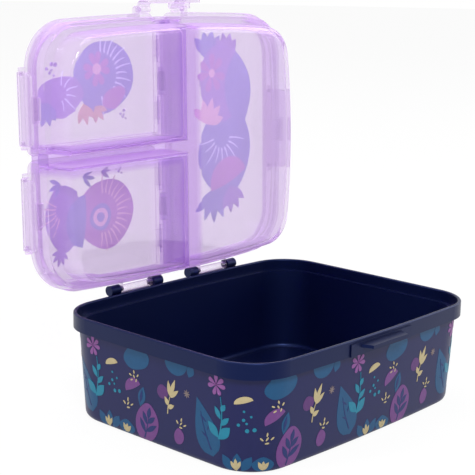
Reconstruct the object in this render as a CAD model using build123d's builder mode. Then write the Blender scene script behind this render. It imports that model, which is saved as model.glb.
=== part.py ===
from build123d import *
from collections import namedtuple
import os

# A lunch box in nine plastic mouldings: a tub-shaped base, a compartment tray that is
# hinged to its back edge, three small lids on the tray, a snap tab on each lid, and a
# latch flap at the front of the tray.
#
# X runs along the hinge, -Y is the latch side, +Z is up, and the origin is the centre of
# the base's underside. Sizes are in millimetres. Everything that the tray carries is
# modelled closed, as it sits on the base, and is turned open about the hinge at the end.

# Base
rim_width = 184.0
rim_depth = 146.0
rim_height = 56.3
rim_side_bow = 0.5
rim_front_bow = 3.2
rim_corner = 25.0
collar_height = 8.2
collar_step = 2.6
body_draft = 2.1
body_corner = 24.0
base_wall = 1.9
base_floor = 2.2
rim_round = 0.85
foot_round = 3.0
floor_round = 2.5

# Catch on the base's front
pad_width = 50.0
pad_proud = 0.7
ledge_root_width = 34.0
ledge_tip_width = 28.5
ledge_reach = 5.9
ledge_thickness = 1.7
ledge_below_rim = 3.1

# Hinge between the base and the tray
open_angle = 91.7
hinge_back = 2.1
hinge_above_rim = 1.4
lug_radius = 2.8
lug_width = 7.0
lug_gusset = 7.5
journal_radius = 1.1
journal_length = 2.8
barrel_radius = 2.0
barrel_arm_width = 2.4
barrel_arm_thickness = 1.5
hinge_inner = 11.0
hinge_outer = 49.8
hinge_shelf_gap = 0.8
hinge_shelf_thickness = 1.6
hinge_shelf_reach = 4.2

# Tray
tray_inset = 1.0
tray_wall = 1.6
tray_flange = 1.6
tub_drop = 14.2
tub_side_gap = 1.3
tub_end_gap = 1.5
tub_side_bow = 5.4
tub_front_bow = 3.8
tub_corner = 18.4
tub_draft = 1.4
tub_round = 2.2
bay_round = 2.4
bay_corner = 3.0
mouth_height = 12.3
divider_x = 2.0
divider_y = -1.2
divider_gap = 6.6
cross_gap = 6.3
land_below_mouth = 2.0
land_step = 0.3

# Lids
lid_thickness = 1.6
lid_skirt_wall = 1.6
lid_skirt_depth = 8.6
lid_round = 1.2
lid_inner_corner = 4.5
lid_seam = 2.1
seal_rib_depth = 3.2
seal_rib_wall = 1.2
lid_knuckle_radius = 1.7
lid_knuckle_length = 10.0
lid_rod_radius = 0.8
lid_rod_spacing = 3.9
lid_post_width = 2.4

# Snap tabs
left_tab_inner = 8.6
right_tab_length = 48.0
left_tab_corner_gap = 1.8
right_tab_centre = -1.5
tab_barrel = 1.6
tab_stand_off = 2.4
tab_below_lid_top = 1.8
tab_wall = 1.5
tab_reach = 3.5
tab_tip_below_hook = 0.3
tab_bend = 1.6
tab_tip_round = 3.5
tab_journal = 0.8
tab_hook_width = 14.0
tab_hook_thickness = 1.2
tab_engagement = 1.8
catch_width = 12.0
catch_height = 2.0
catch_tip_height = 0.8
catch_proud = 4.2
catch_below_skirt = 0.5

# Front latch
latch_width = 34.4
latch_window = 17.8
latch_window_depth = 5.0
latch_barrel = 1.8
latch_stand_off = 4.2
latch_below_lid_top = 5.4
latch_wall = 1.6
latch_reach = 5.0
latch_bend = 3.0
latch_tip_round = 3.0
latch_tip_below_hook = 0.2
latch_journal = 0.9
latch_hook_width = 16.0
latch_hook_thickness = 1.2
latch_engagement = 2.4

# Shared by the tabs and the latch
journal_reach = 1.6
ear_width = 2.0

# Fits
seat_gap = 0.4
side_gap = 0.4
skirt_gap = 0.4
end_gap = 0.3
bore_end_gap = 0.3
knuckle_gap = 0.4
running_clearance = 0.08
latch_gap = 0.8
latch_notch_gap = 3.0
hook_gap = 0.4

# Heights
collar_z = rim_height - collar_height
flange_z = rim_height + seat_gap
flange_top = flange_z + tray_flange
tub_z = rim_height - tub_drop
mouth_z = rim_height + mouth_height
land_z = mouth_z - land_below_mouth
lid_under = mouth_z + seat_gap
lid_top = lid_under + lid_thickness
skirt_z = lid_top - lid_skirt_depth

# Outlines, each as width, depth, side bow, front bow and corner radius
rim = (rim_width, rim_depth, rim_side_bow, rim_front_bow, rim_corner)
tub_width = rim_width - 2 * (base_wall + collar_step + tub_side_gap)
tub_depth = rim_depth - 2 * (base_wall + collar_step + tub_end_gap)
tub = (tub_width, tub_depth, tub_side_bow, tub_front_bow, tub_corner)


def grown(size, amount):
    """The same outline moved outwards by an amount, or inwards if it is negative."""
    width, depth, side_bow, front_bow, corner = size
    return (width + 2 * amount, depth + 2 * amount, side_bow, front_bow, corner + amount)


def outline(size):
    """A rectangle with slightly swelling sides and round corners."""
    width, depth, side_bow, front_bow, corner = size
    half_x = width / 2
    half_y = depth / 2
    corner_x = half_x - side_bow
    corner_y = half_y - front_bow
    with BuildSketch() as shape:
        with BuildLine():
            ThreePointArc((-corner_x, -corner_y), (0, -half_y), (corner_x, -corner_y))
            ThreePointArc((corner_x, -corner_y), (half_x, 0), (corner_x, corner_y))
            ThreePointArc((corner_x, corner_y), (0, half_y), (-corner_x, corner_y))
            ThreePointArc((-corner_x, corner_y), (-half_x, 0), (-corner_x, -corner_y))
        make_face()
        fillet(shape.vertices(), corner)
    return shape.sketch


def bay_outline(size, low, high, corner):
    """The part of an outline inside a rectangle, with its new corners rounded."""
    with BuildSketch() as shape:
        add(outline(size))
        with Locations(((low[0] + high[0]) / 2, (low[1] + high[1]) / 2)):
            Rectangle(high[0] - low[0], high[1] - low[1], mode=Mode.INTERSECT)
        cut = [v for v in shape.vertices() if on_edge(v, low, high)]
        fillet(cut, corner)
    return shape.sketch


def on_edge(vertex, low, high):
    """Whether a vertex lies on the sides of the rectangle from low to high."""
    near = 1e-4
    on_x = min(abs(vertex.X - low[0]), abs(vertex.X - high[0])) < near
    on_y = min(abs(vertex.Y - low[1]), abs(vertex.Y - high[1])) < near
    return on_x or on_y


# The body narrows downwards from the collar.
body = grown(rim, -collar_step)
body = (body[0], body[1], rim_side_bow, rim_front_bow, body_corner)
foot = (body[0] - 2 * body_draft, body[1] - 2 * body_draft, rim_side_bow, rim_front_bow, body_corner)

# The tray's upper walls stand on the base's rim. Its tubs widen upwards to the flange.
tray_outer = grown(rim, -tray_inset)
tub_top = (tub[0] + 2 * tub_draft, tub[1] + 2 * tub_draft, tub_side_bow, tub_front_bow, tub_corner)
lid_inner = grown(tray_outer, skirt_gap)
lid_outer = grown(lid_inner, lid_skirt_wall)

# Hinge axis at the back
hinge_y = rim_depth / 2 + hinge_back
hinge_z = rim_height + hinge_above_rim
hinge_axis = Axis((0, hinge_y, hinge_z), (1, 0, 0))

# Hinge rods of the small lids, one along each side of the divider
lid_rod_z = lid_top - lid_knuckle_radius
left_rod_x = divider_x - lid_rod_spacing / 2
right_rod_x = divider_x + lid_rod_spacing / 2

# Edges of the tray's three bays, at the inside of their walls
left_bay_edge = divider_x - divider_gap / 2 - tray_wall
right_bay_edge = divider_x + divider_gap / 2 + tray_wall
front_bay_edge = divider_y - cross_gap / 2 - tray_wall
back_bay_edge = divider_y + cross_gap / 2 + tray_wall
far = rim_width

# A bay or a lid is what lies between two corners, given as its low and its high corner.
bays = {
    "front_left": ((-far, -far), (left_bay_edge, front_bay_edge)),
    "back_left": ((-far, back_bay_edge), (left_bay_edge, far)),
    "right": ((right_bay_edge, -far), (far, far)),
}

left_lid_edge = left_rod_x - lid_knuckle_radius - knuckle_gap
right_lid_edge = right_rod_x + lid_knuckle_radius + knuckle_gap
lid_spans = {
    "front_left": ((-far, -far), (left_lid_edge, divider_y - lid_seam / 2)),
    "back_left": ((-far, divider_y + lid_seam / 2), (left_lid_edge, far)),
    "right": ((right_lid_edge, -far), (far, far)),
}

# Each lid's rod, and the edge of its plate beside the rod
lid_rods = {
    "front_left": (left_rod_x, left_lid_edge),
    "back_left": (left_rod_x, left_lid_edge),
    "right": (right_rod_x, right_lid_edge),
}

# Distances to the moving flaps' pivots and catches
lid_half_width = lid_outer[0] / 2
tray_half_width = tray_outer[0] / 2
tray_half_depth = tray_outer[1] / 2
tab_pivot_x = lid_half_width + tab_stand_off
tab_pivot_z = lid_top - tab_below_lid_top
catch_top = skirt_z - catch_below_skirt
catch_bottom = catch_top - catch_height
latch_pivot_y = tray_half_depth + latch_stand_off
latch_pivot_z = lid_top - latch_below_lid_top
ledge_tip_y = rim_depth / 2 + ledge_reach
ledge_top = rim_height - ledge_below_rim
ledge_bottom = ledge_top - ledge_thickness

# The left tabs end near the outline's corners. The lids are notched round the latch.
left_tab_outer = rim_depth / 2 - rim_corner - left_tab_corner_gap
left_tab_length = left_tab_outer - left_tab_inner
left_tab_centre = (left_tab_outer + left_tab_inner) / 2
latch_notch = latch_width + 2 * (end_gap + ear_width + latch_notch_gap)

Flap = namedtuple(
    "Flap",
    "length barrel wall reach height bend tip_round journal "
    "hook_width hook_thickness hook_top hook_tip window window_depth",
)

tab_hook_top = catch_bottom - hook_gap - tab_pivot_z
left_tab = Flap(
    length=left_tab_length,
    barrel=tab_barrel,
    wall=tab_wall,
    reach=tab_reach,
    height=tab_hook_thickness + tab_tip_below_hook - tab_hook_top,
    bend=tab_bend,
    tip_round=tab_tip_round,
    journal=tab_journal,
    hook_width=tab_hook_width,
    hook_thickness=tab_hook_thickness,
    hook_top=tab_hook_top,
    hook_tip=tray_half_width + catch_proud - tab_engagement - tab_pivot_x,
    window=0,
    window_depth=0,
)
right_tab = left_tab._replace(length=right_tab_length)

latch_hook_top = ledge_bottom - latch_gap - latch_pivot_z
front_latch = Flap(
    length=latch_width,
    barrel=latch_barrel,
    wall=latch_wall,
    reach=latch_reach,
    height=latch_hook_thickness + latch_tip_below_hook - latch_hook_top,
    bend=latch_bend,
    tip_round=latch_tip_round,
    journal=latch_journal,
    hook_width=latch_hook_width,
    hook_thickness=latch_hook_thickness,
    hook_top=latch_hook_top,
    hook_tip=ledge_tip_y - latch_engagement - latch_pivot_y,
    window=latch_window,
    window_depth=latch_window_depth,
)


def flap_plane(pivot, outward):
    """A profile plane at a flap's pivot: X outwards, Y up, its normal along the pivot."""
    return Plane(origin=pivot, x_dir=outward, z_dir=Vector(outward).cross(Vector(0, 0, 1)))


tab_planes = {
    "front_left": flap_plane((-tab_pivot_x, -left_tab_centre, tab_pivot_z), (-1, 0, 0)),
    "back_left": flap_plane((-tab_pivot_x, left_tab_centre, tab_pivot_z), (-1, 0, 0)),
    "right": flap_plane((tab_pivot_x, right_tab_centre, tab_pivot_z), (1, 0, 0)),
}
tab_sizes = {"front_left": left_tab, "back_left": left_tab, "right": right_tab}
latch_plane = flap_plane((0, -latch_pivot_y, latch_pivot_z), (0, -1, 0))


def flap(plane, size):
    """A snap flap: a barrel on the pivot, an arm out from it, and a hanging plate with a hook."""
    middle = size.reach - size.wall / 2
    hook_low = size.hook_top - size.hook_thickness
    face_plane = Plane(origin=plane.origin, x_dir=plane.z_dir, z_dir=-plane.x_dir)
    with BuildPart() as piece:
        with BuildSketch(plane.offset(-size.length / 2)):
            with BuildLine():
                FilletPolyline((0, 0), (middle, 0), (middle, -size.height), radius=size.bend)
            trace(line_width=size.wall)
            Circle(size.barrel)
        extrude(amount=size.length)
        with BuildSketch(face_plane) as face:
            with Locations((0, (size.barrel - size.height) / 2)):
                Rectangle(size.length, size.height + size.barrel)
            fillet(face.vertices().group_by(Axis.Y)[0], size.tip_round)
        extrude(amount=size.reach + size.barrel, both=True, mode=Mode.INTERSECT)
        with BuildSketch(plane.offset(-size.hook_width / 2)):
            with BuildLine():
                Polyline(
                    (middle, size.hook_top),
                    (size.hook_tip, size.hook_top),
                    (size.hook_tip, hook_low + size.hook_thickness / 2),
                    (middle, hook_low),
                    close=True,
                )
            make_face()
        extrude(amount=size.hook_width)
        if size.window:
            with BuildSketch(face_plane) as opening:
                with Locations((0, (size.barrel - size.window_depth) / 2)):
                    Rectangle(size.window, size.barrel + size.window_depth)
                fillet(opening.vertices().group_by(Axis.Y)[0], size.wall)
            extrude(amount=size.reach + size.barrel, both=True, mode=Mode.SUBTRACT)
        for side in (-1, 1):
            with BuildSketch(plane.offset(side * size.length / 2)):
                Circle(size.journal + running_clearance)
            extrude(amount=-side * (journal_reach + bore_end_gap), mode=Mode.SUBTRACT)
    return piece.part


def ears(plane, size, distance, depth):
    """Ears that hold a flap's ends, on a wall that is a distance behind the pivot."""
    with BuildPart() as pair:
        for side in (-1, 1):
            inner = plane.offset(side * (size.length / 2 + end_gap))
            with BuildSketch(inner):
                Circle(size.barrel)
                with Locations((-(distance + depth) / 2, 0)):
                    Rectangle(distance + depth, 2 * size.barrel)
            extrude(amount=side * ear_width)
            with BuildSketch(inner):
                Circle(size.journal)
            extrude(amount=-side * (end_gap + journal_reach))
    return pair.part


# The lug widths and hinge spans on both sides of the middle
lug_spans = [
    (-hinge_outer, -hinge_outer + lug_width),
    (-hinge_inner - lug_width, -hinge_inner),
    (hinge_inner, hinge_inner + lug_width),
    (hinge_outer - lug_width, hinge_outer),
]
barrel_spans = [
    (-hinge_outer + lug_width, -hinge_inner - lug_width),
    (hinge_inner + lug_width, hinge_outer - lug_width),
]
back_wall_y = rim_depth / 2 - base_wall

with BuildPart() as base_hollow:
    # The inside of the base, with the step that the collar makes
    with BuildSketch(Plane.XY.offset(base_floor)):
        add(outline(grown(foot, -base_wall)))
    with BuildSketch(Plane.XY.offset(collar_z + base_wall)):
        add(outline(grown(body, -base_wall)))
    loft()
    fillet(base_hollow.edges().group_by(Axis.Z)[0], floor_round)
    with BuildSketch(Plane.XY.offset(collar_z + base_wall)):
        add(outline(grown(rim, -base_wall)))
    extrude(amount=collar_height - base_wall)

with BuildPart() as base:
    # Body, narrowing to the foot
    with BuildSketch(Plane.XY):
        add(outline(foot))
    with BuildSketch(Plane.XY.offset(collar_z)):
        add(outline(body))
    loft()
    fillet(base.edges().group_by(Axis.Z)[0], foot_round)
    # Collar
    with BuildSketch(Plane.XY.offset(collar_z)):
        add(outline(rim))
    extrude(amount=collar_height)
    add(base_hollow.part, mode=Mode.SUBTRACT)
    fillet(base.edges().group_by(Axis.Z)[-1], rim_round)
    # Pad and catch ledge at the front
    with BuildSketch(Plane.XY.offset(collar_z)):
        add(outline(grown(rim, pad_proud)))
        with Locations((0, -rim_depth / 2)):
            Rectangle(pad_width, 2 * base_wall, mode=Mode.INTERSECT)
    extrude(amount=collar_height - base_wall)
    with BuildSketch(Plane.XY.offset(ledge_bottom)):
        with BuildLine():
            Polyline(
                (-ledge_root_width / 2, -back_wall_y),
                (-ledge_root_width / 2, -rim_depth / 2),
                (-ledge_tip_width / 2, -ledge_tip_y),
                (ledge_tip_width / 2, -ledge_tip_y),
                (ledge_root_width / 2, -rim_depth / 2),
                (ledge_root_width / 2, -back_wall_y),
                close=True,
            )
        make_face()
    extrude(amount=ledge_thickness)
    # Hinge lugs, each a disc about the axis with a gusset down to the collar
    for start, end in lug_spans:
        with BuildSketch(Plane.YZ.offset(start)):
            with Locations((hinge_y, hinge_z)):
                Circle(lug_radius)
            with BuildLine():
                Polyline(
                    (back_wall_y, rim_height - base_wall / 2),
                    (hinge_y, rim_height - base_wall / 2),
                    (hinge_y + lug_radius, hinge_z),
                    (back_wall_y, hinge_z - lug_gusset),
                    close=True,
                )
            make_face()
        extrude(amount=end - start)
    # Journals into the tray's barrels, and the shelf below each barrel
    for start, end in barrel_spans:
        for face, side in ((start, 1), (end, -1)):
            with BuildSketch(Plane.YZ.offset(face)):
                with Locations((hinge_y, hinge_z)):
                    Circle(journal_radius)
            extrude(amount=side * journal_length)
        with BuildSketch(Plane.XY.offset(hinge_z - barrel_radius - hinge_shelf_gap)):
            with Locations(((start + end) / 2, (back_wall_y + rim_depth / 2 + hinge_shelf_reach) / 2)):
                Rectangle(end - start, rim_depth / 2 + hinge_shelf_reach - back_wall_y)
        extrude(amount=-hinge_shelf_thickness)


def bay(low, high):
    """The inside of one compartment: a drafted tub, and straight walls above the flange."""
    with BuildPart() as hollow:
        with BuildSketch(Plane.XY.offset(tub_z + tray_wall)):
            add(bay_outline(grown(tub, -tray_wall), low, high, bay_corner))
        with BuildSketch(Plane.XY.offset(flange_top)):
            add(bay_outline(grown(tub_top, -tray_wall), low, high, bay_corner))
        loft()
        fillet(hollow.edges().group_by(Axis.Z)[0], bay_round)
        with BuildSketch(Plane.XY.offset(flange_top)):
            add(bay_outline(grown(tray_outer, -tray_wall), low, high, bay_corner))
        extrude(amount=land_z - flange_top)
    return hollow.part


def stations(name):
    """The Y positions of the two hinge knuckles on a small lid."""
    low = max(lid_spans[name][0][1], -tray_half_depth)
    high = min(lid_spans[name][1][1], tray_half_depth)
    middle = (low + high) / 2
    return [middle - (high - low) / 4, middle + (high - low) / 4]


bay_solids = [bay(low, high) for low, high in bays.values()]

with BuildPart() as tray:
    # Tubs, flange and upper walls as one block
    with BuildSketch(Plane.XY.offset(tub_z)):
        add(outline(tub))
    with BuildSketch(Plane.XY.offset(flange_z)):
        add(outline(tub_top))
    loft()
    with BuildSketch(Plane.XY.offset(flange_z)):
        add(outline(tray_outer))
    extrude(amount=mouth_z - flange_z)
    # Channels between the tubs, open to the base
    with BuildSketch(Plane.XY.offset(tub_z)) as channels:
        with Locations((divider_x, 0)):
            Rectangle(divider_gap, 2 * far)
        with Locations((divider_x - far / 2, divider_y)):
            Rectangle(far, cross_gap)
    extrude(amount=flange_z - tub_z, mode=Mode.SUBTRACT)
    fillet(tray.edges().group_by(Axis.Z)[0], tub_round)
    with BuildSketch(Plane.XY.offset(flange_z)):
        add(outline(grown(tray_outer, -tray_wall)))
        add(channels.sketch_local, mode=Mode.INTERSECT)
    extrude(amount=land_z - tray_wall - flange_z, mode=Mode.SUBTRACT)
    # Compartments, and the shallow well above the dividers
    for solid in bay_solids:
        add(solid, mode=Mode.SUBTRACT)
    with BuildSketch(Plane.XY.offset(land_z)):
        add(outline(grown(tray_outer, land_step - tray_wall)))
    extrude(amount=mouth_z - land_z, mode=Mode.SUBTRACT)
    # Barrels of the main hinge, with two arms each
    for start, end in barrel_spans:
        low = start + end_gap
        high = end - end_gap
        with BuildSketch(Plane.YZ.offset(low)):
            with Locations((hinge_y, hinge_z)):
                Circle(barrel_radius)
        extrude(amount=high - low)
        with BuildSketch(Plane.XY.offset(flange_z)):
            for x in (low + barrel_arm_width / 2, high - barrel_arm_width / 2):
                with Locations((x, (tray_half_depth - tray_wall - rim_front_bow + hinge_y) / 2)):
                    Rectangle(barrel_arm_width, hinge_y - tray_half_depth + tray_wall + rim_front_bow)
        extrude(amount=barrel_arm_thickness)
        for face, side in ((low, 1), (high, -1)):
            with BuildSketch(Plane.YZ.offset(face)):
                with Locations((hinge_y, hinge_z)):
                    Circle(journal_radius + running_clearance)
            extrude(amount=side * journal_length, mode=Mode.SUBTRACT)
    # Rods and posts for the small lids
    for name, (rod_x, edge_x) in lid_rods.items():
        for y in stations(name):
            half = lid_knuckle_length / 2 + knuckle_gap
            with BuildSketch(Plane.XZ.offset(-y - half - lid_post_width)):
                with Locations((rod_x, lid_rod_z)):
                    Circle(lid_rod_radius)
            extrude(amount=2 * (half + lid_post_width))
            for start in (-half - lid_post_width, half):
                with BuildSketch(Plane.XZ.offset(-y + start)):
                    with Locations((rod_x, lid_rod_z)):
                        Circle(lid_post_width / 2)
                    with Locations((rod_x, (lid_rod_z + land_z - tray_wall / 2) / 2)):
                        Rectangle(lid_post_width, lid_rod_z - land_z + tray_wall / 2)
                extrude(amount=lid_post_width)
    # Catches for the tabs, flat below and sloped above
    for name, plane in tab_planes.items():
        wall_x = tray_half_width - tab_pivot_x
        with BuildSketch(plane.offset(-catch_width / 2)):
            with BuildLine():
                Polyline(
                    (wall_x - tray_wall / 2, catch_bottom - tab_pivot_z),
                    (wall_x + catch_proud, catch_bottom - tab_pivot_z),
                    (wall_x + catch_proud, catch_bottom + catch_tip_height - tab_pivot_z),
                    (wall_x, catch_top - tab_pivot_z),
                    (wall_x - tray_wall / 2, catch_top - tab_pivot_z),
                    close=True,
                )
            make_face()
        extrude(amount=catch_width)
    add(ears(latch_plane, front_latch, latch_stand_off, tray_wall / 2))


def rib_shape(name, inset):
    """The outline, corners and corner radius of a compartment's mouth, moved inwards."""
    low, high = bays[name]
    size = grown(tray_outer, -tray_wall - inset)
    inner_low = (low[0] + inset, low[1] + inset)
    inner_high = (high[0] - inset, high[1] - inset)
    return size, inner_low, inner_high, bay_corner - inset


def lid(name):
    """A small lid: plate, outer skirt, sealing rib, hinge knuckles and ears for its tab."""
    low, high = lid_spans[name]
    rod_x, edge_x = lid_rods[name]
    with BuildPart() as piece:
        with BuildSketch(Plane.XY.offset(skirt_z)):
            add(bay_outline(lid_outer, low, high, lid_inner_corner))
        extrude(amount=lid_top - skirt_z)
        fillet(piece.edges().group_by(Axis.Z)[-1], lid_round)
        with BuildSketch(Plane.XY.offset(skirt_z)):
            add(outline(lid_inner))
        extrude(amount=lid_under - skirt_z, mode=Mode.SUBTRACT)
        # Room for the latch's ears and arms in the front skirts
        with BuildSketch(Plane.XY.offset(skirt_z)):
            with Locations((0, -lid_outer[1] / 2)):
                Rectangle(latch_notch, 2 * (lid_skirt_wall + skirt_gap + rim_front_bow))
        extrude(amount=lid_under - skirt_z, mode=Mode.SUBTRACT)
        # Sealing rib inside the compartment's mouth
        with BuildSketch(Plane.XY.offset(lid_under - seal_rib_depth)):
            add(bay_outline(*rib_shape(name, side_gap)))
            add(bay_outline(*rib_shape(name, side_gap + seal_rib_wall)), mode=Mode.SUBTRACT)
        extrude(amount=seal_rib_depth + lid_thickness / 2)
        # Knuckles around the tray's rods
        for y in stations(name):
            with BuildSketch(Plane.XY.offset(lid_under)):
                with Locations(((edge_x + rod_x) / 2, y)):
                    Rectangle(abs(edge_x - rod_x) + 2 * lid_round, lid_knuckle_length)
            extrude(amount=lid_thickness)
            with BuildSketch(Plane.XZ.offset(-y - lid_knuckle_length / 2)):
                with Locations((rod_x, lid_rod_z)):
                    Circle(lid_knuckle_radius)
            extrude(amount=lid_knuckle_length)
            with BuildSketch(Plane.XZ.offset(-y - lid_knuckle_length / 2)):
                with Locations((rod_x, lid_rod_z)):
                    Circle(lid_rod_radius + running_clearance)
            extrude(amount=lid_knuckle_length, mode=Mode.SUBTRACT)
        add(ears(tab_planes[name], tab_sizes[name], tab_stand_off, lid_skirt_wall / 2))
    return piece.part


def stand_open(piece):
    """Turn a piece that the tray carries from its closed place to the open one."""
    return piece.rotate(hinge_axis, -open_angle)


pieces = {"base": base.part, "tray": stand_open(tray.part)}
for name in lid_spans:
    pieces["lid_" + name] = stand_open(lid(name))
    pieces["tab_" + name] = stand_open(flap(tab_planes[name], tab_sizes[name]))
pieces["front_latch"] = stand_open(flap(latch_plane, front_latch))

os.makedirs("parts", exist_ok=True)
for name, piece in pieces.items():
    piece.label = name
    export_step(piece, "parts/" + name + ".step")
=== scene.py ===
import math

import bmesh
import bpy
from mathutils import Matrix, Vector
from mathutils.bvhtree import BVHTree


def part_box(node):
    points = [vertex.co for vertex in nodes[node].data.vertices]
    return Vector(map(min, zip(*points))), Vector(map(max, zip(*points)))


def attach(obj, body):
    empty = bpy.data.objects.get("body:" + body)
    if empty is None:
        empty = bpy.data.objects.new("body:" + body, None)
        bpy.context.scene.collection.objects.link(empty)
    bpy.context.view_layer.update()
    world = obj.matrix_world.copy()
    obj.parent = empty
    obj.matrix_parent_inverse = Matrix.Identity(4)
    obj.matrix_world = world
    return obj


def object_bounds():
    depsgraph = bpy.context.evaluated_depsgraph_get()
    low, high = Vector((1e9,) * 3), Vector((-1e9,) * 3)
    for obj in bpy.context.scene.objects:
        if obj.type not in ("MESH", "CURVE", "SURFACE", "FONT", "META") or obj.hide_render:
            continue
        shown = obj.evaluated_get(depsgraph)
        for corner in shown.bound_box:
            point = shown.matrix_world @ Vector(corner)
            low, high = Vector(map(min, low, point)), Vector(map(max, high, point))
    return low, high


# A lunch box of moulded plastic: a navy base with a printed label round its body, and a clear
# lilac tray that is also its cover, with three small lids that carry printed labels of their own.
# Shapes come from the frame; the labels are thin printed meshes that ride on their own mouldings.

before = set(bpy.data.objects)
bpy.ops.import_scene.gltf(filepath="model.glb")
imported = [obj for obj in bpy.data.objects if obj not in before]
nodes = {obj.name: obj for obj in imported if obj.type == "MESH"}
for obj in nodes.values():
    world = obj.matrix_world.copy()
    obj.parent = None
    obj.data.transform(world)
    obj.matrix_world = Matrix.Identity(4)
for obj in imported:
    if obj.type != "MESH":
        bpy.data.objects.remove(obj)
cad_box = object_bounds()
mm = 0.001

plastic_index = 1.49
# The line between the two small left lids, up the standing tray, and how far from it and from the
# middle of the tray its ribs run.
lid_seam = (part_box("lid_front_left")[0].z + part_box("lid_back_left")[1].z) / 2
rib_core = 6 * mm
rib_edge = 9 * mm


# ---------------------------------------------------------------- colours and nodes

def ink(code):
    """A hex sRGB colour as linear red, green, blue and alpha."""
    channels = [int(code[i:i + 2], 16) / 255 for i in (1, 3, 5)]
    linear = [c / 12.92 if c <= 0.04045 else ((c + 0.055) / 1.055) ** 2.4 for c in channels]
    return (*linear, 1.0)


def add(tree, kind, values=(), links=(), **settings):
    """Adds a shader node with its own settings, its inputs' values and the outputs linked to it."""
    node = tree.nodes.new(kind)
    for name, value in settings.items():
        setattr(node, name, value)
    for socket, value in dict(values).items():
        node.inputs[socket].default_value = value
    for socket, source in dict(links).items():
        tree.links.new(source, node.inputs[socket])
    return node


def empty_material(name):
    """A new material with nothing but its output node."""
    material = bpy.data.materials.new(name)
    material.use_nodes = True
    material.node_tree.nodes.clear()
    tree = material.node_tree
    return material, tree, tree.nodes.new("ShaderNodeOutputMaterial")


# ---------------------------------------------------------------- materials

def navy_polypropylene():
    """Injection-moulded polypropylene from a spark-eroded mould: a deep navy with a satin shine
    that a fine pebbled grain breaks up, and faint lighter flow marks."""
    material, tree, output = empty_material("navy_polypropylene")
    place = add(tree, "ShaderNodeTexCoord").outputs["Object"]
    flow = add(tree, "ShaderNodeTexNoise", {"Scale": 1 / (45 * mm), "Detail": 3.0}, {"Vector": place})
    colour = add(tree, "ShaderNodeMix", {"A": ink("#040926"), "B": ink("#050c2f")}, data_type="RGBA")
    tree.links.new(flow.outputs["Fac"], colour.inputs["Factor"])
    grain = add(tree, "ShaderNodeTexNoise", {"Scale": 1 / (0.9 * mm), "Detail": 2.0}, {"Vector": place})
    shine = add(tree, "ShaderNodeMapRange", {"To Min": 0.30, "To Max": 0.44})
    tree.links.new(grain.outputs["Fac"], shine.inputs["Value"])
    bump = add(tree, "ShaderNodeBump", {"Strength": 0.25, "Distance": 0.02 * mm},
               {"Height": grain.outputs["Fac"]})
    skin = add(tree, "ShaderNodeBsdfPrincipled",
               {"IOR": plastic_index, "Specular Tint": ink("#819cfb")},
               {"Base Color": colour.outputs["Result"], "Roughness": shine.outputs["Result"],
                "Normal": bump.outputs["Normal"]})
    tree.links.new(skin.outputs["BSDF"], output.inputs["Surface"])
    return material


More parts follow.
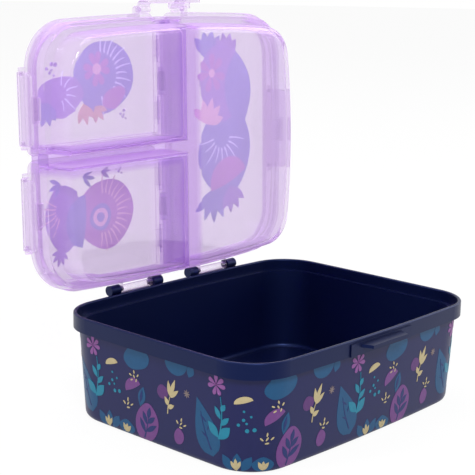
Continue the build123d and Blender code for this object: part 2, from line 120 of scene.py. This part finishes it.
def lilac_copolyester(name, rib_tone):
    """Clear tinted copolyester, moulded with polished walls: what is behind it shows through, a flat
    sheet of it is a pale lilac, walls seen along their length glow a milky violet, and the ribs
    between the compartments are a deeper tone. The gloss is a hard coat with soft sink waves."""
    material, tree, output = empty_material(name)
    place = add(tree, "ShaderNodeTexCoord")
    sink = add(tree, "ShaderNodeTexNoise", {"Scale": 1 / (22 * mm), "Detail": 1.0},
               {"Vector": place.outputs["Object"]})
    waves = add(tree, "ShaderNodeBump", {"Strength": 0.3, "Distance": 0.25 * mm},
                {"Height": sink.outputs["Fac"]})
    facing = add(tree, "ShaderNodeSeparateXYZ", {}, {"Vector": place.outputs["Normal"]})
    flat = add(tree, "ShaderNodeMath", {}, {0: facing.outputs["Y"]}, operation="ABSOLUTE")
    sheet = add(tree, "ShaderNodeMix", {"A": ink("#f2e9f8"), "B": ink("#efe9f4")},
                {"Factor": flat.outputs["Value"]}, data_type="RGBA")
    where = add(tree, "ShaderNodeSeparateXYZ", {}, {"Vector": place.outputs["Object"]})
    middle_rib = add(tree, "ShaderNodeMath", {}, {0: where.outputs["X"]}, operation="ABSOLUTE")
    height = add(tree, "ShaderNodeMath", {1: lid_seam}, {0: where.outputs["Z"]}, operation="SUBTRACT")
    from_seam = add(tree, "ShaderNodeMath", {}, {0: height.outputs["Value"]}, operation="ABSOLUTE")
    left_rib = add(tree, "ShaderNodeMath", {},
                   {0: from_seam.outputs["Value"], 1: where.outputs["X"]}, operation="MAXIMUM")
    nearest = add(tree, "ShaderNodeMath", {},
                  {0: middle_rib.outputs["Value"], 1: left_rib.outputs["Value"]}, operation="MINIMUM")
    rib = add(tree, "ShaderNodeMapRange",
              {"From Min": rib_core, "From Max": rib_edge, "To Min": 1.0, "To Max": 0.0},
              {"Value": nearest.outputs["Value"]})
    tone = add(tree, "ShaderNodeMix", {"B": ink(rib_tone)},
               {"Factor": rib.outputs["Result"], "A": sheet.outputs["Result"]}, data_type="RGBA")
    wall = add(tree, "ShaderNodeBsdfPrincipled",
               {"Roughness": 0.05, "IOR": 1.09, "Transmission Weight": 1.0,
                "Coat Weight": 1.0, "Coat IOR": plastic_index, "Coat Roughness": 0.05},
               {"Base Color": tone.outputs["Result"], "Coat Normal": waves.outputs["Normal"]})
    grazing = add(tree, "ShaderNodeLayerWeight", {"Blend": 0.5})
    milk = add(tree, "ShaderNodeMapRange",
               {"From Min": 0.30, "From Max": 1.0, "To Min": 0.05, "To Max": 0.72},
               {"Value": grazing.outputs["Facing"]}, interpolation_type="SMOOTHSTEP")
    lit = add(tree, "ShaderNodeBsdfDiffuse", {"Color": ink("#e6cef4")})
    glow = add(tree, "ShaderNodeBsdfTranslucent", {"Color": ink("#e6cef4")})
    edge = add(tree, "ShaderNodeMixShader", {"Fac": 0.5})
    tree.links.new(lit.outputs["BSDF"], edge.inputs[1])
    tree.links.new(glow.outputs["BSDF"], edge.inputs[2])
    body = add(tree, "ShaderNodeMixShader", {}, {"Fac": milk.outputs["Result"]})
    tree.links.new(wall.outputs["BSDF"], body.inputs[1])
    tree.links.new(edge.outputs["Shader"], body.inputs[2])
    shadow = add(tree, "ShaderNodeBsdfTransparent", {"Color": ink("#e3d4ea")})
    light = add(tree, "ShaderNodeLightPath")
    both = add(tree, "ShaderNodeMixShader", {}, {"Fac": light.outputs["Is Shadow Ray"]})
    tree.links.new(body.outputs["Shader"], both.inputs[1])
    tree.links.new(shadow.outputs["BSDF"], both.inputs[2])
    tint = add(tree, "ShaderNodeVolumeAbsorption", {"Color": (0.45, 0.06, 0.71, 1), "Density": 8})
    tree.links.new(both.outputs["Shader"], output.inputs["Surface"])
    tree.links.new(tint.outputs["Volume"], output.inputs["Volume"])
    return material


def studio_paper():
    """White paper sweep: white to the eye and in reflections, with a faint shadow under the box."""
    material, tree, output = empty_material("studio_paper")
    light = add(tree, "ShaderNodeLightPath")
    seen = add(tree, "ShaderNodeMath", {}, operation="MAXIMUM")
    tree.links.new(light.outputs["Is Glossy Ray"], seen.inputs[0])
    tree.links.new(light.outputs["Is Transmission Ray"], seen.inputs[1])
    share = add(tree, "ShaderNodeMath", {1: 0.93}, operation="MULTIPLY_ADD")
    tree.links.new(light.outputs["Is Camera Ray"], share.inputs[0])
    tree.links.new(seen.outputs["Value"], share.inputs[2])
    paper = add(tree, "ShaderNodeBsdfDiffuse", {"Color": ink("#fbfbfb")})
    white = add(tree, "ShaderNodeEmission", {"Color": (1, 1, 1, 1), "Strength": 1.0})
    both = add(tree, "ShaderNodeMixShader", {}, {"Fac": share.outputs["Value"]})
    tree.links.new(paper.outputs["BSDF"], both.inputs[1])
    tree.links.new(white.outputs["Emission"], both.inputs[2])
    tree.links.new(both.outputs["Shader"], output.inputs["Surface"])
    return material


# ---------------------------------------------------------------- finishes of the moulded pieces

navy = navy_polypropylene()
lilac = lilac_copolyester("lilac_copolyester", rib_tone="#f2e9f8")
tray_lilac = lilac_copolyester("lilac_copolyester_tray", rib_tone="#dcc4f0")

for name, node in nodes.items():
    node.data.materials.clear()
    node.data.materials.append({"base": navy, "tray": tray_lilac}.get(name, lilac))


# ---------------------------------------------------------------- printed shapes, in millimetres

def turned(points, degrees=0.0, at=(0.0, 0.0), size=1.0):
    """An outline turned about its origin, sized and moved."""
    c, s = math.cos(math.radians(degrees)), math.sin(math.radians(degrees))
    return [(at[0] + size * (x * c - y * s), at[1] + size * (x * s + y * c)) for x, y in points]


def leaf(length, width, fullest=0.5, steps=12):
    """A pointed leaf that starts at the origin and grows upwards, widest at a share of its length."""
    bend = math.log(0.5) / math.log(fullest)
    side = [(width / 2 * math.sin(math.pi * (i / steps) ** bend), length * i / steps)
            for i in range(steps + 1)]
    return side[:-1] + [(-x, y) for x, y in reversed(side[1:])]


def petal(length, width, steps=12):
    """A drop that starts at a point and ends round."""
    ring = [math.pi * (i / steps - 1) for i in range(2 * steps)]
    return [(width / 2 * math.sin(t) * (1 - math.cos(t)) / 1.3, length * (1 - math.cos(t)) / 2)
            for t in ring][::-1]


def pebble(width, height, swell=0.12, phase=0.0, steps=30):
    """A soft, uneven oval."""
    ring = [2 * math.pi * i / steps for i in range(steps)]
    return [(width / 2 * math.cos(t) * (1 + swell * math.sin(2 * t + phase)),
             height / 2 * math.sin(t) * (1 + swell * math.cos(3 * t + phase))) for t in ring]


def half_moon(width, height, steps=14):
    """A half disc with a softly bowed straight side."""
    arc = [(width / 2 * math.cos(math.pi * i / steps), height * math.sin(math.pi * i / steps))
           for i in range(steps + 1)]
    back = [(width / 2 * (2 * i / steps - 1), -0.12 * height * math.sin(math.pi * i / steps))
            for i in range(1, steps)]
    return arc + back


def stalk(length, width, sway=0.0, steps=10):
    """A thin stroke upwards that sways to one side and narrows to its tip."""
    middle = [(sway * math.sin(math.pi * i / steps), length * i / steps) for i in range(steps + 1)]
    half = [width / 2 * (1 - 0.6 * i / steps) for i in range(steps + 1)]
    return ([(x + w, y) for (x, y), w in zip(middle, half)]
            + [(x - w, y) for (x, y), w in reversed(list(zip(middle, half)))])


# A motif is a list of outlines, each with its ink and its layer: a higher layer covers a lower one.

def daisy(ink_name, petals=7, radius=6.6):
    """An open flower of round petals."""
    step = 360 / petals
    return [(turned(petal(radius, 0.42 * radius), step * i + 8 * (i % 2)), ink_name, 1)
            for i in range(petals)]


def leafy_stem():
    """A teal stem with leaves in pairs and two broad ones at its foot."""
    shapes = [(stalk(27, 0.9, 1.6), "teal", 1)]
    for height, length, lean in ((22, 5.5, -28), (17, 8.5, 34), (13, 8.5, -42)):
        shapes.append((turned(leaf(length, 3.4), lean, (0.8, height - 4)), "teal", 1))
    shapes.append((turned(leaf(12, 5.8), 48, (0, 1)), "teal", 1))
    shapes.append((turned(leaf(12, 6.2), -38, (0, 0)), "teal", 1))
    return shapes


def grass_sprig():
    """A cream stalk with a spray of long pointed buds."""
    shapes = [(stalk(17, 0.7, -1.0), "cream", 2)]
    buds = ((13, 11.5, -6), (12, 10.0, 24), (11.5, 9.5, -36), (5.5, 6.0, 44), (4.0, 6.0, -50))
    for height, length, lean in buds:
        shapes.append((turned(leaf(length, 3.1, 0.42), lean, (-0.8, height)), "cream", 2))
    return shapes


def ribbed_leaf():
    """A broad round mauve leaf with a small indigo branch drawn on it."""
    shapes = [(pebble(19.5, 26, 0.05, 0.6), "mauve", 1),
              (turned(stalk(20, 1.0, 0.8), 0, (0, -10.5)), "deep", 2)]
    leaves = ((-7, 10.5, 40), (-6, 11.5, -44), (-1, 9.0, 36), (0, 9.0, -38), (3, 8.5, 0))
    for height, length, lean in leaves:
        shapes.append((turned(leaf(length, 3.4), lean, (0.3, height)), "deep", 2))
    return shapes


def broad_leaf():
    """A big teal leaf, full at its foot, with a darker middle vein."""
    shapes = [(turned(leaf(37, 19, 0.32), 12, (3.5, -18)), "blue", 0),
              (turned(stalk(24, 1.0, -1.0), 12, (2.6, -14)), "deep", 1)]
    for height, lean in ((-7, 52), (-2, -34), (3, 46)):
        shapes.append((turned(leaf(6.0, 1.2), lean, (1.2, height)), "deep", 1))
    return shapes


def curled_petals():
    """A mauve petal curling over a teal leaf."""
    return [(turned(half_moon(15, 6.2), 28, (-2.5, 2.5)), "mauve", 1),
            (turned(leaf(14, 6.5), -14, (3.5, -8.5)), "blue", 0),
            (turned(leaf(9, 2.2), -14, (3.6, -6)), "deep", 1)]


def crumbs(count, spread, ink_name, length=2.3, width=1.0):
    """Short dashes scattered evenly in a ring round one in the middle."""
    shapes = []
    for i in range(count):
        angle = 2 * math.pi * i / (count - 1)
        reach = spread if i < count - 1 else 0
        place = (reach * math.cos(angle), 0.8 * reach * math.sin(angle))
        shapes.append((turned(pebble(length, width, 0), 35 + 50 * i, place), ink_name, 2))
    return shapes


def sprout():
    """A teal tuft with a cream three-leaved sprout in front."""
    shapes = [(turned(leaf(12, 6.4), lean, (x, 0)), "blue", 0)
              for x, lean in ((-3, 30), (0.5, -4), (3.5, -38))]
    for length, lean in ((7.5, 26), (8.5, 0), (7.5, -26)):
        shapes.append((turned(leaf(length, 2.4, 0.6), lean), "cream", 2))
    return shapes


def tulip():
    """A teal round leaf with a small cream tulip."""
    shapes = [(pebble(14, 9.5, 0.1, 1.1), "blue", 0)]
    for length, lean in ((6.5, 34), (6.0, 0), (6.5, -34)):
        shapes.append((turned(leaf(length, 2.9, 0.45), lean, (0, -3.5)), "cream", 2))
    return shapes


def bud():
    """A mauve bud with cream seeds above it."""
    seeds = crumbs(5, 3.2, "cream", 2.6)
    return ([(pebble(8.0, 10.5, 0.06, 0.4), "mauve", 1)]
            + [(turned(outline, 0, (0.8, 9.0)), ink_name, layer) for outline, ink_name, layer in seeds])


def spark():
    """A small star of thin strokes."""
    return [(turned(leaf(2.8, 0.7), 45 * i), "sand", 1) for i in range(8)]


def dots(count=7, spread=6.5, ink_name="teal"):
    """Loose round dots."""
    return [(turned(pebble(1.5 + 0.5 * (i % 3), 1.5 + 0.5 * (i % 3), 0), 0,
                    (spread * math.cos(2.4 * i) * (i / count) ** 0.5,
                     1.3 * spread * math.sin(2.4 * i) * (i / count) ** 0.5)), ink_name, 1)
            for i in range(count)]


# One repeat of the body's label: each motif with its place along the label, its height, its turn
# and its size. The label runs round the body from a seam in the middle of the back.
label_repeat = 87.0
motif_size = 0.8
label_motifs = [
    (daisy("rose"), 0.0, 42.5, 0, 1.0),
    (leafy_stem(), 1.0, 15.5, -4, 1.0),
    ([(half_moon(11.5, 3.6), "cream", 1)], 14.0, 36.0, 16, 1.0),
    (dots(), 15.5, 25.5, 0, 1.0),
    (sprout(), 10.5, 1.0, 4, 0.95),
    (tulip(), 24.0, 4.5, -6, 0.95),
    ([(pebble(22, 15.5, 0.08, 0.9), "blue", 0)], 32.5, 43.0, 8, 1.0),
    (crumbs(6, 3.6, "cream"), 30.5, 33.0, 20, 1.0),
    (crumbs(5, 3.4, "cream", 2.8), 25.5, 17.5, 0, 1.0),
    (curled_petals(), 31.5, 25.0, 0, 1.0),
    (ribbed_leaf(), 39.0, 10.5, -14, 1.0),
    ([(pebble(9.5, 9.0, 0.05, 0.2), "plum", 0)], 50.8, 30.0, 0, 1.0),
    (grass_sprig(), 54.0, 19.5, -16, 1.0),
    (bud(), 61.5, 9.5, -8, 1.0),
    ([(half_moon(19, 8.5), "blue", 0)], 60.5, 47.5, 186, 1.0),
    ([(turned(leaf(9, 6.2), 160), "blue", 0)], 71.5, 48.5, 0, 1.0),
    (spark(), 67.5, 33.0, 0, 1.0),
    (broad_leaf(), 79.5, 19.5, 8, 1.0),
]


# ---------------------------------------------------------------- labels on the walls

def skin_of(node):
    """A tree of a moulded piece's faces, for finding points on its surface."""
    return BVHTree.FromPolygons([v.co for v in node.data.vertices],
                                [p.vertices for p in node.data.polygons])


def belt_round(tree, height, stations=720):
    """The path round the body's wall at a height, from the middle of the back and once round: each
    station's distance along the path, and its point."""
    points = []
    for i in range(stations + 1):
        angle = math.pi / 2 + 2 * math.pi * i / stations
        outward = Vector((math.cos(angle), math.sin(angle), 0))
        points.append(tree.ray_cast(Vector((0, 0, height)) + outward * 0.4, -outward)[0])
    lengths = [0.0]
    for before, after in zip(points, points[1:]):
        lengths.append(lengths[-1] + (after - before).length)
    return lengths, points


class Wall:
    """The body's outside wall, unrolled: points given along it and up it, in millimetres."""

    def __init__(self, node, height):
        self.tree = skin_of(node)
        self.lengths, self.points = belt_round(self.tree, height)
        self.total = self.lengths[-1] / mm

    def __call__(self, along, height, lift):
        place = along * mm
        low, high = 0, len(self.lengths) - 1
        while high - low > 1:
            middle = (low + high) // 2
            if self.lengths[middle] <= place:
                low = middle
            else:
                high = middle
        share = (place - self.lengths[low]) / (self.lengths[high] - self.lengths[low])
        point = self.points[low].lerp(self.points[high], share)
        path = self.points[high] - self.points[low]
        outward = Vector((path.y, -path.x, 0)).normalized()
        start = Vector((point.x, point.y, height * mm)) + outward * 20 * mm
        found, normal, _, _ = self.tree.ray_cast(start, -outward)
        return found + normal * lift


class Plate:
    """A small lid's flat outside, in millimetres across and along it from the middle of its box."""

    def __init__(self, node, across, along):
        self.tree = skin_of(node)
        self.across, self.along = Vector(across), Vector(along)
        self.outward = self.across.cross(self.along)
        low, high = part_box(node.name)
        self.middle = (low + high) / 2

    def __call__(self, x, y, lift):
        start = self.middle + self.across * x * mm + self.along * y * mm + self.outward * 40 * mm
        found, normal, _, _ = self.tree.ray_cast(start, -self.outward)
        return found + normal * lift


# How the ink stands on the plastic: its lowest layer, each layer above it, each ink in one layer,
# what lies below the surface, and each outline over the one before until the count starts again.
layer_base = 0.14 * mm
layer_step = 0.065 * mm
ink_step = 0.010 * mm
ink_depth = 0.12 * mm
overlap_step = 0.0015 * mm
overlap_turns = 6

# The cells that let a label bend round a corner, the rows that follow the foot's curve, and the
# angle from which an edge of the ink is drawn sharp.
bend_cell = 2.4
foot_row = 0.8
foot_rows = 3
sharp_edge = math.radians(40)


def cut_all(flat, cuts, **settings):
    """Cuts a flat mesh along each plane, given by a point and its direction."""
    for place, direction in cuts:
        bmesh.ops.bisect_plane(flat, geom=flat.verts[:] + flat.edges[:] + flat.faces[:],
                               plane_co=place, plane_no=direction, **settings)


def printed(name, outlines, height, surface, limits):
    """Ink of one colour and layer as a thin mesh that follows a surface: the outlines are filled,
    trimmed to the label's edges, cut into cells so that they bend, and given a thickness. Each
    outline lies a hair above the one before, so that two that overlap don't share a face."""
    (low_x, low_y), (high_x, high_y) = limits
    flat = bmesh.new()
    for order, outline in enumerate(outlines):
        flat.faces.new([flat.verts.new((x, y, order % overlap_turns)) for x, y in outline])
    bmesh.ops.triangulate(flat, faces=flat.faces[:])
    cut_all(flat, (((low_x, 0, 0), (-1, 0, 0)), ((high_x, 0, 0), (1, 0, 0)),
                   ((0, low_y, 0), (0, -1, 0)), ((0, high_y, 0), (0, 1, 0))), clear_outer=True)
    cells = range(1, int((high_x - low_x) / bend_cell))
    cut_all(flat, [((low_x + i * bend_cell, 0, 0), (1, 0, 0)) for i in cells])
    cut_all(flat, [((0, low_y + i * foot_row, 0), (0, 1, 0)) for i in range(1, foot_rows + 1)])
    lift = layer_base + height
    lower = {v: surface(v.co.x, v.co.y, -ink_depth - height - v.co.z * overlap_step)
             for v in flat.verts}
    made = bmesh.ops.extrude_face_region(flat, geom=flat.faces[:])
    top = [v for v in made["geom"] if isinstance(v, bmesh.types.BMVert)]
    for vertex in top:
        vertex.co = surface(vertex.co.x, vertex.co.y, lift + vertex.co.z * overlap_step)
    for vertex, place in lower.items():
        vertex.co = place
    bmesh.ops.recalc_face_normals(flat, faces=flat.faces[:])
    for face in flat.faces:
        face.smooth = True
    for edge in flat.edges:
        edge.smooth = edge.calc_face_angle() < sharp_edge
    mesh = bpy.data.meshes.new(name)
    flat.to_mesh(mesh)
    flat.free()
    piece = bpy.data.objects.new(name, mesh)
    bpy.context.scene.collection.objects.link(piece)
    return piece


def ink_sets(motifs):
    """The outlines of placed motifs, gathered by ink and layer."""
    found = {}
    for shapes, along, height, degrees, size in motifs:
        for outline, ink_name, layer in shapes:
            key = (ink_name, layer)
            found.setdefault(key, []).append(turned(outline, degrees, (along, height), size))
    return found


def print_label(name, motifs, surface, limits, inks, body):
    """Prints a label's motifs on a surface, one thin piece for each ink and layer. The inks of one
    layer lie a hair above each other as well."""
    layers = {}
    for (ink_name, layer), outlines in ink_sets(motifs).items():
        layers[layer] = layers.get(layer, -1) + 1
        height = layer * layer_step + layers[layer] * ink_step
        piece_name = f"{name}_{ink_name}_{layer}".replace("-", "under_")
        piece = printed(piece_name, outlines, height, surface, limits)
        piece.data.materials.append(inks[ink_name])
        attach(piece, body)


def label_ink(name, code, other, sheen):
    """Offset ink under the clear skin of an in-mould label: an even colour with a slight mottle,
    and the shine of the plastic it is fused to."""
    material, tree, output = empty_material(name)
    place = add(tree, "ShaderNodeTexCoord").outputs["Object"]
    mottle = add(tree, "ShaderNodeTexNoise", {"Scale": 1 / (2.2 * mm), "Detail": 3.0},
                 {"Vector": place})
    colour = add(tree, "ShaderNodeMix", {"A": ink(code), "B": ink(other)}, data_type="RGBA")
    tree.links.new(mottle.outputs["Fac"], colour.inputs["Factor"])
    skin = add(tree, "ShaderNodeBsdfPrincipled",
               {"IOR": plastic_index, "Specular IOR Level": 0.25, "Roughness": sheen},
               {"Base Color": colour.outputs["Result"]})
    tree.links.new(skin.outputs["BSDF"], output.inputs["Surface"])
    return material


body_inks = {
    "ground": label_ink("navy_label_ground", "#131745", "#161a4b", 0.36),
    "teal": label_ink("teal_label_ink", "#1a7890", "#166a84", 0.38),
    "blue": label_ink("petrol_label_ink", "#124a72", "#104268", 0.38),
    "deep": label_ink("indigo_label_ink", "#1b2a63", "#172355", 0.38),
    "mauve": label_ink("mauve_label_ink", "#6a3d7a", "#5e356f", 0.38),
    "plum": label_ink("plum_label_ink", "#563069", "#4c2a60", 0.38),
    "rose": label_ink("rose_label_ink", "#7f4c88", "#75447e", 0.38),
    "cream": label_ink("cream_label_ink", "#b0a27c", "#a39672", 0.38),
    "sand": label_ink("sand_label_ink", "#7a6c6a", "#6f6262", 0.38),
}

wall = Wall(nodes["base"], height=25 * mm)
label_seam_gap = 1.0
label_foot = 1.2
label_top = 47.7
# A repeat starts a little before the middle of the front, and the others follow both ways. A motif
# may reach past the seam by its radius.
before_front = 14.7
label_start = wall.total / 2 - before_front
motif_radius = 20
repeats = int(wall.total / label_repeat) + 2
label_edges = ((label_seam_gap, label_foot), (wall.total - label_seam_gap, label_top))
body_motifs = []
for i in range(-repeats, repeats):
    for shapes, along, height, degrees, size in label_motifs:
        place = label_start + i * label_repeat + along
        if -motif_radius < place < wall.total + motif_radius:
            body_motifs.append((shapes, place, height, degrees, motif_size * size))
(low_x, low_y), (high_x, high_y) = label_edges
label_sheet = [(low_x, low_y), (high_x, low_y), (high_x, high_y), (low_x, high_y)]
body_motifs.append(([(label_sheet, "ground", -1)], 0.0, 0.0, 0, 1.0))
print_label("body_label", body_motifs, wall, label_edges, body_inks, "base")


# ---------------------------------------------------------------- labels on the lids

def rays(inner, outer, first, last, count, ink_name, width=1.2):
    """Thin strokes that fan out from a middle, every other one shorter."""
    shapes = []
    for i in range(count):
        angle = first + (last - first) * i / (count - 1)
        reach = outer - (0.28 * (outer - inner) if i % 2 else 0)
        foot = (-inner * math.sin(math.radians(angle)), inner * math.cos(math.radians(angle)))
        shapes.append((turned(stalk(reach - inner, width, 0.5), angle, foot), ink_name, 1))
    return shapes


def tuft(count, length, width, ink_name, spread=26, layer=0):
    """Pointed leaves that spread from one foot."""
    return [(turned(leaf(length - 0.7 * abs(i - (count - 1) / 2) ** 1.5, width, 0.55),
                    spread * (i - (count - 1) / 2)), ink_name, layer) for i in range(count)]


def rosette(radius, outer, inner):
    """Round spots of two inks, each on the one before, as a rosebud is drawn."""
    return [(pebble(2 * radius * share, 2 * radius * share, 0.05, 3 * share), ink_name, layer)
            for share, ink_name, layer in ((1.0, outer, 1), (0.68, inner, 2), (0.36, outer, 3))]


lid_inks = {
    "periwinkle": label_ink("periwinkle_lid_ink", "#b3b8dc", "#abb0d6", 0.35),
    "violet": label_ink("violet_lid_ink", "#c4b7de", "#bcafd8", 0.35),
    "orchid": label_ink("orchid_lid_ink", "#d3b3d8", "#cbaad2", 0.35),
    "sky": label_ink("sky_lid_ink", "#f0f5ff", "#e6eefc", 0.35),
    "shell": label_ink("shell_lid_ink", "#f3dbe2", "#eed2dc", 0.35),
    "peach": label_ink("peach_lid_ink", "#e8cfc2", "#e2c7ba", 0.35),
}

front_left_motifs = [
    ([(pebble(42, 40, 0.04, 0.8), "periwinkle", 0)], 9.0, -3.0, 0, 1.0),
    (rays(12, 23, -175, -5, 15, "sky"), 6.0, -4.0, 0, 1.0),
    (daisy("orchid", 8, 9.5), 4.0, -7.0, 10, 1.0),
    ([(pebble(6, 6, 0), "shell", 3)], 4.0, -7.0, 0, 1.0),
    ([(pebble(17, 11, 0.1, 0.5), "orchid", 1)], 16.0, 9.0, -30, 1.0),
    ([(pebble(29, 22, 0.10, 2.0), "violet", 0)], -21.5, 6.0, 0, 1.0),
    (tuft(5, 13, 5.0, "periwinkle", 24, 1), -30.0, 9.0, 20, 1.0),
    (rays(4, 12, -80, 80, 6, "sky", 1.0), -21.0, 4.5, -90, 1.0),
    (tuft(3, 12, 3.8, "peach", 30, 1), -6.0, 11.0, -12, 1.0),
    (tuft(3, 10, 3.2, "peach", 34, 1), 2.0, 13.0, -38, 1.0),
    (dots(6, 4.5, "violet"), -27.0, -8.0, 0, 0.9),
    (dots(5, 4.0, "violet"), 23.0, 19.0, 0, 0.7),
]
back_left_motifs = [
    ([(pebble(40, 39, 0.04, 2.2), "orchid", 0)], 8.0, -2.5, 0, 1.0),
    (rays(11, 22, -178, 5, 16, "shell"), 5.5, -3.0, 0, 1.0),
    ([(pebble(24, 37, 0.03, 1.4), "violet", 0)], -21.5, -3.5, 0, 1.0),
    ([(turned(half_moon(29, 12), 96), "periwinkle", 1)], -8.0, 0.0, 0, 1.0),
    (rosette(7.6, "periwinkle", "shell"), 4.0, -1.0, 0, 1.0),
    (rays(5, 16, -30, 60, 6, "shell", 1.0), -22.0, -8.0, 60, 1.0),
    (tuft(3, 9, 2.4, "periwinkle", 38), -23.0, -22.5, 70, 1.0),
    (tuft(3, 9, 2.4, "periwinkle", 38), -8.0, -24.5, -80, 1.0),
    (tuft(3, 8, 2.2, "violet", 38), 5.0, -26.0, -96, 1.0),
    (tuft(5, 9, 2.2, "violet", 30), -24.0, 14.0, 20, 1.0),
    (dots(5, 4.0, "violet"), 19.0, -26.0, 0, 0.7),
]
right_motifs = [
    (tuft(5, 18, 6.6, "periwinkle", 24), -7.0, -46.0, 192, 1.0),
    (tuft(5, 16, 6.0, "violet", 24), 9.0, -46.0, 168, 1.0),
    ([(pebble(40, 46, 0.05, 0.4), "violet", 0)], 6.0, -32.0, 0, 1.0),
    ([(turned(leaf(50, 23, 0.45), -4), "periwinkle", 1)], 17.0, -50.0, 0, 1.0),
    (daisy("orchid", 7, 11.5), -4.0, -38.0, 20, 1.0),
    ([(pebble(5, 5, 0), "shell", 3)], -4.0, -38.0, 0, 1.0),
    ([(pebble(44, 54, 0.04, 2.6), "periwinkle", 0)], 7.0, 9.0, 0, 1.0),
    (tuft(5, 16, 5.4, "shell", 30, 2), -8.0, -8.0, 196, 1.0),
    (rays(7, 20, -80, 80, 9, "sky", 1.2), 4.0, 0.0, 0, 1.0),
    ([(turned(half_moon(32, 14), 160), "orchid", 2)], 10.0, 27.0, 0, 1.0),
    (tuft(5, 21, 6.0, "periwinkle", 24), -3.0, 31.0, 0, 1.0),
    (tuft(4, 17, 5.4, "violet", 26), 11.0, 31.0, -16, 1.0),
]

# The lids stand open with the tray: this is the way down them, from the latch to the tray's hinge.
lid_slope = (0.0, -0.02966624, -0.99955986)
lid_label_edges = ((-36.0, -66.0), (34.0, 66.0))
for lid, motifs in (("lid_front_left", front_left_motifs), ("lid_back_left", back_left_motifs),
                    ("lid_right", right_motifs)):
    plate = Plate(nodes[lid], (1, 0, 0), lid_slope)
    print_label(lid.replace("lid", "label"), motifs, plate, lid_label_edges, lid_inks, lid)


# ---------------------------------------------------------------- studio

def floor():
    """A round sheet of studio paper under the box."""
    mesh = bpy.data.meshes.new("floor")
    shape = bmesh.new()
    bmesh.ops.create_circle(shape, cap_ends=True, segments=96, radius=6.0)
    shape.to_mesh(mesh)
    shape.free()
    sheet = bpy.data.objects.new("floor", mesh)
    sheet.location.z = cad_box[0].z - 0.1 * mm
    mesh.materials.append(studio_paper())
    bpy.context.scene.collection.objects.link(sheet)


def lamp(name, place, target, size, power):
    """A soft square lamp that points at a target."""
    light = bpy.data.lights.new(name, "AREA")
    light.shape = "SQUARE"
    light.size = size
    light.energy = power
    stand = bpy.data.objects.new(name, light)
    stand.location = place
    stand.rotation_euler = (Vector(target) - Vector(place)).to_track_quat("-Z", "Y").to_euler()
    bpy.context.scene.collection.objects.link(stand)


def room():
    """White surroundings to the eye, in reflections and through the clear walls, and a soft fill
    light on everything else."""
    world = bpy.data.worlds.new("room")
    bpy.context.scene.world = world
    world.use_nodes = True
    tree = world.node_tree
    tree.nodes.clear()
    light = add(tree, "ShaderNodeLightPath")
    shiny = add(tree, "ShaderNodeMath", {}, operation="MAXIMUM")
    tree.links.new(light.outputs["Is Glossy Ray"], shiny.inputs[0])
    tree.links.new(light.outputs["Is Transmission Ray"], shiny.inputs[1])
    seen = add(tree, "ShaderNodeMath", {}, operation="MAXIMUM")
    tree.links.new(light.outputs["Is Camera Ray"], seen.inputs[0])
    tree.links.new(shiny.outputs["Value"], seen.inputs[1])
    strength = add(tree, "ShaderNodeMapRange", {"To Min": 0.45, "To Max": 1.0})
    tree.links.new(seen.outputs["Value"], strength.inputs["Value"])
    sky = add(tree, "ShaderNodeBackground", {"Color": (1, 1, 1, 1)},
              {"Strength": strength.outputs["Result"]})
    output = tree.nodes.new("ShaderNodeOutputWorld")
    tree.links.new(sky.outputs["Background"], output.inputs["Surface"])


def camera():
    """A long lens from the front left, a little above the rim of the base."""
    azimuth = math.radians(-47.430)
    elevation = math.radians(12.342)
    roll = math.radians(0.945)
    distance = 847.57 * mm
    target = Vector((106.66, 123.91, 56.62)) * mm
    back = Vector((math.sin(azimuth) * math.cos(elevation),
                   -math.cos(azimuth) * math.cos(elevation), math.sin(elevation)))
    right = (-back).cross(Vector((0, 0, 1))).normalized()
    up = right.cross(-back)
    turned_right = math.cos(roll) * right + math.sin(roll) * up
    turned_up = math.cos(roll) * up - math.sin(roll) * right
    lens = bpy.data.cameras.new("camera")
    lens.sensor_width = 36.0
    lens.lens = 97.27
    stand = bpy.data.objects.new("camera", lens)
    stand.matrix_world = (Matrix.Translation(target + back * distance)
                          @ Matrix((turned_right, turned_up, back)).transposed().to_4x4())
    bpy.context.scene.collection.objects.link(stand)
    bpy.context.scene.camera = stand


floor()
room()
middle = (cad_box[0] + cad_box[1]) / 2
lamp("key_lamp", middle + Vector((-0.9, -1.2, 1.3)), middle, 0.5, 22)
lamp("side_lamp", middle + Vector((1.5, -0.7, 0.8)), middle, 1.0, 10)
lamp("rim_lamp", middle + Vector((-1.66, 0.63, 0.88)), middle, 0.3, 9)
lamp("top_lamp", middle + Vector((0.1, 0.5, 1.7)), middle, 1.2, 12)
camera()

bpy.context.scene.view_settings.view_transform = "Standard"
